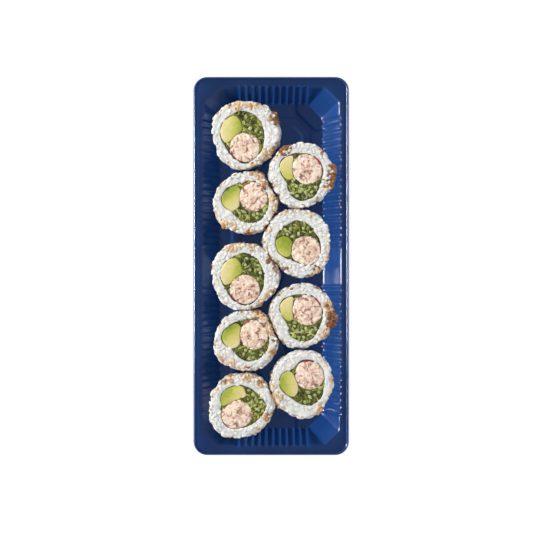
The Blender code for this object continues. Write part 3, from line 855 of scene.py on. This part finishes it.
def rice_core(roll):
    """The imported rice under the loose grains: a lumpy ring with a rounded upper edge."""
    top = roll.top_z - CORE_DROP
    low = roll.low_z + CORE_FOOT_RISE
    edge = roll.outer_radii(roll.top_z) - roll.inset - CORE_ROUNDING
    rings = []
    for share in np.linspace(0.0, 1.0, CORE_FLAT_RINGS + 2):
        fall = INNER_ROUNDING * (1 - min(1.0, share / INNER_SHARE)) ** 2
        rings.append(ring(roll.middle(top), roll.hole + (edge - roll.hole) * share, top - fall))
    for turn in np.radians(CORE_TURNS):
        z = top - CORE_ROUNDING * (1 - math.cos(turn))
        rings.append(ring(roll.middle(z), edge + CORE_ROUNDING * math.sin(turn), z))
    for z in np.linspace(top - CORE_ROUNDING, roll.low_z + 0.8, CORE_SIDE_RINGS):
        rings.append(ring(roll.middle(z), roll.outer_radii(z) - roll.inset, z))
    for inset in CORE_FOOT_INSETS:
        rings.append(ring(roll.middle(low), roll.outer_radii(low) - roll.inset - inset, low))
    for z in (low, top - 2.5):
        rings.append(ring(roll.middle(z), roll.sheet_radii(z)[0] + 0.15, z))
    rings.append(ring(roll.middle(top), roll.hole, top - 1.2))
    verts = np.concatenate(rings)
    out = verts - np.array([*roll.middle(top), top / 2])
    out /= np.linalg.norm(out, axis=1)[:, None]
    relief = side_lumps(verts, roll) - 0.1
    relief[:CORE_FLAT_RINGS * AROUND] *= CORE_FLAT_LUMPS
    for size_mm, depth, seed in CORE_RELIEF:
        relief += depth * bumps(verts, size_mm, roll.number + seed)
    relief[-3 * AROUND:] = 0.0
    verts += out * relief[:, None]
    faces = band_faces(len(rings), AROUND, closed=True)
    core = new_piece(f"rice_core_{roll.number}", verts, faces, MATERIALS["rice_core"], "rice")
    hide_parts(f"rice_{roll.number}")


def grain_shape(around=7, along=5):
    """A blunt grain of unit length along X, as points and faces."""
    verts = [(-0.5, 0.0, 0.0)]
    for step in range(1, along):
        angle = math.pi * step / along
        radius = 0.5 * math.sin(angle) ** GRAIN_BLUNTNESS
        for turn in range(around):
            bearing = math.tau * turn / around
            verts.append((-0.5 * math.cos(angle), radius * math.cos(bearing), radius * math.sin(bearing)))
    verts.append((0.5, 0.0, 0.0))
    last = len(verts) - 1
    faces = [tuple(1 + index for index in face) for face in band_faces(along - 1, around)]
    for turn in range(around):
        after = (turn + 1) % around
        faces.append((0, 1 + after, 1 + turn))
        faces.append((last, last - around + turn, last - around + after))
    return np.array(verts), faces


class Heap:
    """Many small bodies with the same faces, gathered into one mesh, each with its own tone."""

    def __init__(self, faces, shape=None):
        self.faces = faces
        self.shape = shape
        self.bodies = []
        self.tones = []

    def add(self, verts, tone):
        """One body from its points."""
        self.bodies.append(verts)
        self.tones.append(tone)

    def add_copy(self, place, along, out, size, tone):
        """A copy of the shape with its X axis along one direction and its Z axis out of the surface."""
        along = (along - out * along.dot(out)).normalized()
        turn = np.array([along, out.cross(along), out])
        verts = (self.shape * np.array(size)) @ turn + np.array(place)
        verts[:, 2] -= max(0.0, verts[:, 2].max() - FOOD_TOP)
        self.add(verts, tone)

    def piece(self, name, material, slot, smooth_angle=HEAP_SMOOTH_ANGLE):
        """All the bodies as one piece of the scene."""
        count = len(self.bodies[0])
        faces = []
        for number in range(len(self.bodies)):
            faces.extend(tuple(index + number * count for index in face) for face in self.faces)
        verts = np.concatenate(self.bodies)
        piece = new_piece(name, verts, faces, MATERIALS[material], slot, smooth_angle)
        store_values(piece, "tone", np.repeat(self.tones, count))


def spread(draw, spacing, tries, taken=None):
    """Random places from draw() that keep a spacing from each other: (point, *rest) tuples."""
    taken = taken if taken is not None else []
    for _ in range(tries):
        found = draw()
        if found is None:
            continue
        if all((found[0] - other[0]).length_squared > spacing * spacing for other in taken):
            taken.append(found)
    return taken


def random_direction(chance, out):
    """A random direction that lies in the surface."""
    side = out.orthogonal().normalized()
    return Matrix.Rotation(chance.uniform(0, math.tau), 3, out) @ side


def polar_point(middle, radius, angle, z):
    """A point at a distance and bearing from a middle."""
    return Vector((middle[0] + radius * math.cos(angle), middle[1] + radius * math.sin(angle), z))


def drawn_size(chance, ranges):
    """A random size from its (least, most) along each axis."""
    return tuple(chance.uniform(least, most) for least, most in ranges)


def top_point(roll, chance):
    """A random point on the rice's cut face, with a direction that follows the edge near the edge."""
    angle = chance.uniform(0, math.tau)
    share = math.sqrt(chance.random())
    hole = at_angle(roll.hole, angle) + 0.55
    edge = at_angle(roll.outer_radii(roll.top_z) - roll.inset, angle) - 0.7
    radius = hole + (edge - hole) * share
    at_edge = min(edge - radius, radius - hole) < 1.6
    turn = angle + math.pi / 2 + (chance.gauss(0, 0.45) if at_edge else chance.uniform(0, math.pi))
    fall = max(0.0, 1.0 - (edge - radius) / 1.2)
    place = polar_point(roll.middle(roll.top_z), radius, angle, roll.top_z)
    return place, Vector((math.cos(turn), math.sin(turn), 0.0)), fall, angle


def rice_grains(roll):
    """Loose grains over the core: flat and cut on top, whole round the side."""
    chance = random.Random(100 + roll.number)
    shape, faces = grain_shape()
    heap = Heap(faces, shape)
    for place, along, fall, angle in spread(lambda: top_point(roll, chance), TOP_SPACING, TOP_TRIES):
        lean = Vector((math.cos(angle), math.sin(angle), 0.0)) * fall * 0.7
        out = Vector((chance.gauss(0, 0.07), chance.gauss(0, 0.07), 1.0)) + lean
        size = drawn_size(chance, TOP_GRAIN)
        place = place + Vector((0.0, 0.0, chance.uniform(-0.42, -0.28) - 0.45 * fall))
        heap.add_copy(place, along, out.normalized(), size, chance.random())

    def side_place():
        """A random place on the roll's side."""
        return roll.surface_point(chance.uniform(0, math.tau), chance.uniform(SIDE_LOW_Z, roll.top_z - 1.0))

    for place, out in spread(side_place, SIDE_SPACING, SIDE_TRIES):
        size = drawn_size(chance, SIDE_GRAIN)
        sink = at_angle(roll.inset, math.atan2(out.y, out.x)) + chance.uniform(-0.1, 0.7)
        sink -= LUMP_SHARE * side_lumps([place], roll)[0]
        heap.add_copy(place - out * sink, random_direction(chance, out), out, size, chance.random())
    heap.piece(f"rice_grains_{roll.number}", "rice", "rice")


def seaweed(roll):
    """The thin seaweed tube, waved with the rice, its upper edge dipping here and there."""
    wave = 0.16 * bumps([(4 * math.cos(a), 4 * math.sin(a), roll.number) for a in ANGLES], 1.2, 3)
    dip = 0.5 * bumps([(3 * math.cos(a), 3 * math.sin(a), roll.number) for a in ANGLES], 1.0, 8) - 0.95
    top = roll.top_z
    heights = (roll.low_z, roll.low_z + 8.0, top - 3.0, top - 1.0)
    rings = []
    for side in (1, 0):
        wall = [ring(roll.middle(z), roll.sheet_radii(z)[side] + wave, z) for z in heights]
        wall.append(ring(roll.middle(top), roll.sheet_radii(top)[side] + wave, top + dip))
        rings.extend(wall if side else reversed(wall))
    verts = np.concatenate(rings)
    faces = band_faces(len(rings), AROUND, closed=True)
    name = f"seaweed_{roll.number}"
    piece = new_piece(name, verts, faces, MATERIALS["seaweed"], "seaweed", SEAWEED_SMOOTH_ANGLE)
    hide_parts(f"nori_{roll.number}")


def closed_body(rings, top, bottom):
    """A body from its rings, lowest first, closed by a point above and a point below."""
    verts = np.concatenate(rings + [[top], [bottom]])
    faces = band_faces(len(rings), AROUND)
    last = (len(rings) - 1) * AROUND
    for index in range(AROUND):
        after = (index + 1) % AROUND
        faces.append((last + index, last + after, len(verts) - 2))
        faces.append((after, index, len(verts) - 1))
    return verts, faces


def capped_solid(span, top_rise, edge):
    """A filling from its two loops: straight sides, a rounded upper edge and a fine cap.

    The last value returned is each point's place on the cap, from 0 in the middle to 1 at the edge.
    """
    low, high = ((z, middle, radii + FILLING_PRESS) for z, middle, radii in span)
    rings = []
    places = []
    for share in SIDE_RING_SHARES:
        z, middle, radii = between(low, high, share)
        rings.append(ring(middle, radii, z))
        places.append(1.0)
    z, middle, radii = high
    for turn in np.radians(EDGE_TURNS):
        rings.append(ring(middle, radii - edge * (1 - math.cos(turn)), z - edge * (1 - math.sin(turn))))
        places.append(1.0)
    for share in np.linspace(1.0, 0.0, CAP_RINGS + 2)[1:-1]:
        rings.append(ring(middle, (radii - edge) * share, z + top_rise * (1 - share * share)))
        places.append(share)
    verts, faces = closed_body(rings, [*middle, z + top_rise], [*low[1], low[0]])
    return verts, faces, np.concatenate([np.repeat(places, AROUND), [0.0, 1.0]])


def filling(roll, name, slot, top_rise, edge, relief, attribute, value_of):
    """One filling as a piece, with relief on its cut face and a value for its colour.

    Relief is given as (size, depth) pairs; a depth below zero makes sharp furrows.
    """
    node = f"{name}_{roll.number}"
    verts, faces, place = capped_solid(solid_span(node), top_rise, edge)
    lifted = verts[:, 2] > roll.top_z - edge - 0.5
    for size_mm, depth in relief:
        change = depth * bumps(verts, size_mm, roll.number + size_mm)
        if depth < 0:
            change = depth * (1 - np.abs(change / depth)) ** 3
        verts[:, 2] += np.where(lifted, change, 0.0)
    piece = new_piece(f"{name}_cut_{roll.number}", verts, faces, MATERIALS[name], slot)
    store_values(piece, attribute, value_of(verts, place))
    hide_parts(node)


def ripeness(roll):
    """Avocado colour from pale at the stone's side to green at the skin's side."""
    side, palest, greenest, power = AVOCADOS[roll.kind]
    bearing = math.radians(side)

    def value_of(verts, place):
        """How far each point lies towards the skin's side, as a colour's place."""
        along = verts[:, 0] * math.cos(bearing) + verts[:, 1] * math.sin(bearing)
        share = (along - along.min()) / (along.max() - along.min())
        return palest + (greenest - palest) * share ** power

    return value_of


def ribbon(place, turn, length, curl, thickness, top):
    """The points of a thin upright strip, curved in plan: a leaf's edge at the cut."""
    verts = []
    for step in range(RIBBON_STEPS + 1):
        share = step / RIBBON_STEPS - 0.5
        bend = turn + curl * share
        x = place[0] + length * share * math.cos(bend)
        y = place[1] + length * share * math.sin(bend)
        half = thickness / 2 * (1.0 - 0.7 * abs(2 * share) ** 3)
        crest = top - 0.35 * (2 * share) ** 2
        foot = top - LEAF_DEPTH
        for side, z in ((1, foot), (1, crest - 0.15), (0, crest), (-1, crest - 0.15), (-1, foot)):
            verts.append((x - side * half * math.sin(bend), y + side * half * math.cos(bend), z))
    return verts


def ribbon_faces():
    """The faces of every ribbon: a band with five points to a step, closed at both ends."""
    count = 5
    faces = band_faces(RIBBON_STEPS + 1, count)
    faces.append(tuple(reversed(range(count))))
    faces.append(tuple(range(RIBBON_STEPS * count, (RIBBON_STEPS + 1) * count)))
    return faces


def greens_place(roll, chance, spare):
    """A random place inside the seaweed that neither tuna nor avocado takes, or None."""
    low, high = roll.inside.min(axis=0), roll.inside.max(axis=0)
    x = chance.uniform(low[0], high[0])
    y = chance.uniform(low[1], high[1])
    if not is_inside(x, y, shrunk(roll.inside, spare)):
        return None
    if any(is_inside(x, y, shrunk(loop, -spare)) for loop in roll.taken):
        return None
    return (Vector((x, y, roll.top_z)),)


def shrunk(loop, margin):
    """A loop drawn in towards its middle by about a margin, as a list of points."""
    offsets = loop - loop.mean(axis=0)
    lengths = np.linalg.norm(offsets, axis=1)[:, None]
    return [tuple(point) for point in loop - offsets / lengths * margin]


def bed(roll):
    """What fills the seaweed between the larger fillings: dressed leaves, a little lower."""
    top = roll.top_z - BED_DROP
    rings = []
    for z in (roll.low_z, top - 2.0, top):
        rings.append(ring(roll.middle(z), roll.sheet_radii(z)[1] - 0.1, z))
    middle = roll.middle(top)
    for share in np.linspace(1.0, 0.0, BED_RINGS + 2)[1:-1]:
        rings.append(ring(middle, (roll.sheet_radii(top)[1] - 0.1) * share, top))
    verts, faces = closed_body(rings, [*middle, top], [*roll.middle(roll.low_z), roll.low_z])
    lifted = verts[:, 2] > top - 0.1
    change = 0.55 * bumps(verts, 1.8, roll.number) + 0.3 * bumps(verts, 0.8, roll.number + 4)
    verts[:, 2] += np.where(lifted, change, 0.0)
    piece = new_piece(f"greens_bed_{roll.number}", verts, faces, MATERIALS["bed"], "greens")
    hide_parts(f"greens_{roll.number}")


def leaf_cuts(rolls):
    """The cut edges of the green leaves, as curled strips of many tones, in every roll."""
    chance = random.Random(31)
    strips = Heap(ribbon_faces())
    for roll in rolls:
        for place, in spread(lambda: greens_place(roll, chance, 0.4), LEAF_SPACING, LEAF_TRIES):
            turn = LEAF_TURN + chance.gauss(0, 0.8)
            length = chance.uniform(2.0, 6.0)
            top = roll.top_z + chance.uniform(-0.9, 0.3)
            shape = ribbon(place, turn, length, chance.gauss(0, 1.2), chance.uniform(0.45, 1.1), top)
            strips.add(shape, chance.random() ** 1.15 + LEAF_BRIGHTNESS[roll.kind])
    strips.piece("leaf_cuts", "leaf", "greens", STRIP_SMOOTH_ANGLE)


def red_leaf_cuts(rolls):
    """Dark red and pink leaf edges beside the tuna."""
    chance = random.Random(7)
    strips = Heap(ribbon_faces())
    for roll in rolls:
        _, middle, radii = solid_span(f"tuna_{roll.number}")[1]
        for bearing, length, thickness, tone in RED_CUTS.get(roll.kind, ()):
            angle = math.radians(bearing)
            radius = at_angle(radii, angle) + 0.1
            place = polar_point(middle, radius, angle, 0.0)
            top = roll.top_z + chance.uniform(0.15, 0.4)
            strips.add(ribbon(place, angle + math.pi / 2, length, length / radius, thickness, top), tone)
    strips.piece("red_leaf_cuts", "red_leaf", "greens", STRIP_SMOOTH_ANGLE)


def stick_shape():
    """A unit stick with a rounded square section, standing along Z with its end on top."""
    around = 12
    verts = []
    for z, scale in ((0.0, 1.0), (0.9, 1.0), (0.97, 0.93), (1.0, 0.75)):
        for turn in range(around):
            angle = math.tau * turn / around
            radius = 0.5 * scale / (abs(math.cos(angle)) ** 4 + abs(math.sin(angle)) ** 4) ** 0.25
            verts.append((radius * math.cos(angle), radius * math.sin(angle), z - 1.0))
    faces = band_faces(4, around)
    faces.append(tuple(reversed(range(around))))
    faces.append(tuple(range(3 * around, 4 * around)))
    return np.array(verts), faces


def sticks(rolls):
    """Pale cucumber sticks, whose ends show among the leaves."""
    chance = random.Random(12)
    shape, faces = stick_shape()
    heap = Heap(faces, shape)
    for roll in rolls:
        places = spread(lambda: greens_place(roll, chance, 1.1), STICK_SPACING, STICK_TRIES)
        for place, in places[:STICK_COUNTS[roll.kind]]:
            up = Vector((chance.gauss(0, 0.08), chance.gauss(0, 0.08), 1.0)).normalized()
            size = (*drawn_size(chance, STICK_WIDTHS), STICK_LENGTH)
            place = place + Vector((0.0, 0.0, chance.uniform(-0.2, 0.25)))
            heap.add_copy(place, random_direction(chance, up), up, size, chance.random())
    heap.piece("cucumber_sticks", "stick", "greens")


# ---------------------------------------------------------------- sesame and toasted crumbs

def seed_shape():
    """A sesame seed of unit length along X: flat, rounded, pointed at one end."""
    verts, faces = grain_shape()
    taper = 1.0 - 0.45 * (verts[:, 0] + 0.5)
    verts[:, 1] *= taper
    verts[:, 2] *= taper
    return verts, faces


def crumb_shape(seed):
    """The points of a rough lump of unit size, with the faces of a grain."""
    verts = grain_shape()[0]
    return verts * (1.0 + 0.55 * bumps(verts * 2.2, 1.0, seed)[:, None])


def toasting(roll, angle, z=None):
    """How thickly and how brown the side is coated at a place, each from 0 to 1 or a little over."""
    height = roll.top_z if z is None else z
    place = Vector((3.2 * math.cos(angle), 3.2 * math.sin(angle), height / 9.0 + roll.number * 3.0))
    patch = noise.noise(place)
    share = BARE_SHARE + 0.7 * patch
    brown = BARE_BROWN
    for bearing, width, strength, tone in COATS[roll.kind]:
        turn = (angle - math.radians(bearing) + math.pi) % math.tau - math.pi
        weight = math.exp(-(turn / math.radians(width)) ** 4)
        share += strength * weight * (1 + 0.7 * patch)
        brown += (tone - brown) * weight
    return share, brown


def coat_place(roll, chance):
    """A random place on the coated side, thicker towards the upper edge, or None where it is bare."""
    angle = chance.uniform(0, math.tau)
    z = roll.top_z - 0.35 - (roll.top_z - SIDE_LOW_Z) * chance.random() ** 1.8
    share, brown = toasting(roll, angle, z)
    if share + chance.gauss(0.0, 0.13) < COATED_SHARE:
        return None
    point, out = roll.surface_point(angle, z)
    point += out * (LUMP_SHARE * side_lumps([point], roll)[0] + COAT_BULGE * max(0.0, share - 1.0))
    near_edge = max(0.0, 1.0 - (roll.top_z - z) / 1.2)
    out = (out + Vector((0.0, 0.0, 0.8)) * near_edge).normalized()
    return point - out * (COAT_SINK + 0.35 * near_edge), out, share, brown


def spill_place(roll, chance):
    """A random place on the cut face's outer edge where the coat is thick, or None."""
    angle = chance.uniform(0, math.tau)
    share, brown = toasting(roll, angle)
    depth = chance.random() ** 1.5 * SPILL_WIDTH * min(1.5, max(0.0, share - 0.7) / 0.5)
    if share + chance.gauss(0.0, 0.15) < SPILL_SHARE:
        return None
    radius = at_angle(roll.outer_radii(roll.top_z) - 0.5, angle) - depth
    place = polar_point(roll.middle(roll.top_z), radius, angle, roll.top_z + SPILL_RISE)
    out = Vector((math.cos(angle), math.sin(angle), 1.0 + 2.0 * depth)).normalized()
    return place - Vector((0.0, 0.0, 0.5 * max(0.0, 0.8 - depth))), out, share, brown


def coat(rolls):
    """Sesame seeds and toasted crumbs on the rolls' sides and round their upper edges."""
    chance = random.Random(55)
    shape, faces = seed_shape()
    seeds = Heap(faces, shape)
    crumbs = [Heap(faces, crumb_shape(seed)) for seed in range(CRUMB_KINDS)]
    for roll in rolls:
        places = spread(lambda: spill_place(roll, chance), COAT_SPACING, SPILL_TRIES)
        places = spread(lambda: coat_place(roll, chance), COAT_SPACING, COAT_TRIES, places)
        for place, out, share, brown in places:
            along = random_direction(chance, out)
            if chance.random() < SEED_SHARE * (1.2 - brown):
                size = drawn_size(chance, SEED_SIZE)
                seeds.add_copy(place + out * 0.25, along, out, size, chance.random())
            else:
                thick = min(1.0, max(0.0, share - 0.8))
                width = chance.uniform(0.9, 1.7) * (1.0 + 0.4 * thick)
                size = (width * chance.uniform(1.0, 1.7), width, width * (chance.uniform(0.6, 0.9) + thick))
                tone = min(1.0, max(0.0, brown + chance.gauss(0.0, 0.26)))
                crumbs[chance.randrange(CRUMB_KINDS)].add_copy(place, along, out, size, tone)
    seeds.piece("sesame_seeds", "sesame", "rice")
    for number, heap in enumerate(crumbs):
        heap.piece(f"toasted_crumbs_{number + 1}", "crumb", "rice")


def build_rolls():
    """Every roll with its fillings, then the leaves, sticks and coat of all of them."""
    rolls = [Roll(number) for number in ROLL_NUMBERS]
    for roll in rolls:
        rice_core(roll)
        rice_grains(roll)
        seaweed(roll)
        bed(roll)
        filling(roll, "tuna", "tuna_salad", *TUNA_FORM, "rim", lambda verts, place: place)
        filling(roll, "avocado", "avocado", *AVOCADO_FORM, "ripeness", ripeness(roll))
    leaf_cuts(rolls)
    red_leaf_cuts(rolls)
    sticks(rolls)
    coat(rolls)


# ---------------------------------------------------------------- floor, light and camera

def build_stage():
    """A plain pale floor that glows a little."""
    mesh = bpy.data.meshes.new("stage_floor")
    corners = [(x * FLOOR_SIZE, y * FLOOR_SIZE, 0) for x, y in ((-1, -1), (1, -1), (1, 1), (-1, 1))]
    mesh.from_pydata(corners, [], [(0, 1, 2, 3)])
    floor = bpy.data.objects.new("stage_floor", mesh)
    floor.location.z = -FLOOR_GAP
    surface = Surface("stage_floor", 0.9)
    surface.inputs["Base Color"].default_value = (0.9, 0.9, 0.9, 1.0)
    surface.inputs["Emission Color"].default_value = (1.0, 1.0, 1.0, 1.0)
    surface.inputs["Emission Strength"].default_value = FLOOR_GLOW
    mesh.materials.append(surface.material)
    bpy.context.scene.collection.objects.link(floor)
    return floor


def add_light(name, place, size, power, colour, lit, shading):
    """A soft light that faces the tray's middle, for one group of pieces and shaded by another."""
    light = bpy.data.lights.new(name, "AREA")
    light.shape = "RECTANGLE"
    light.size, light.size_y = size
    light.energy = power
    light.color = colour
    lamp = bpy.data.objects.new(name, light)
    lamp.location = place
    lamp.rotation_euler = (-Vector(place)).to_track_quat("-Z", "Y").to_euler()
    bpy.context.scene.collection.objects.link(lamp)
    lamp.light_linking.receiver_collection = grouped(f"lit_by_{name}", lit)
    lamp.light_linking.blocker_collection = grouped(f"shading_{name}", shading)
    return lamp


def grouped(name, pieces):
    """A collection of the pieces that a light falls on or is shaded by."""
    group = bpy.data.collections.new(name)
    for piece in pieces:
        group.objects.link(piece)
    return group


def build_world():
    """Surroundings that are bright at the horizon and darker overhead."""
    world = bpy.data.worlds.new("soft_surroundings")
    world.use_nodes = True
    nodes = world.node_tree.nodes
    links = world.node_tree.links
    place = nodes.new("ShaderNodeTexCoord")
    split = nodes.new("ShaderNodeSeparateXYZ")
    links.new(place.outputs["Generated"], split.inputs["Vector"])
    ramp = nodes.new("ShaderNodeMapRange")
    ramp.inputs["From Min"].default_value = HORIZON_END
    ramp.inputs["From Max"].default_value = ZENITH_START
    ramp.inputs["To Min"].default_value = HORIZON_STRENGTH
    ramp.inputs["To Max"].default_value = ZENITH_STRENGTH
    links.new(split.outputs["Z"], ramp.inputs["Value"])
    links.new(ramp.outputs["Result"], nodes["Background"].inputs["Strength"])
    nodes["Background"].inputs["Color"].default_value = SKY_COLOUR
    bpy.context.scene.world = world


def build_lights(tray, food, floor):
    """The tray is lit almost level from its left, unshaded, and the food from higher up."""
    for name, settings in (("tray_light", TRAY_LIGHT), ("tray_fill", TRAY_FILL)):
        soft = add_light(name, *settings, [tray], [floor])
        soft.visible_glossy = False
    glints = add_light("tray_glints", *GLINT_LIGHT, [tray], [floor])
    glints.visible_diffuse = False
    add_light("food_light", *FOOD_LIGHT, food, food)
    add_light("food_fill", *FOOD_FILL, food, food)


def build_camera():
    """A camera that looks straight down."""
    data = bpy.data.cameras.new("camera")
    data.lens = CAMERA_LENS
    data.clip_start = 0.01
    camera = bpy.data.objects.new("camera", data)
    camera.location = Vector(CAMERA_PLACE) * MM
    bpy.context.scene.collection.objects.link(camera)
    bpy.context.scene.camera = camera


bpy.context.scene.view_settings.view_transform = "Standard"
build_camera()
build_world()
floor = build_stage()
MATERIALS = food_materials()
tray = build_tray()
build_rolls()
build_lights(tray, FOOD, floor)
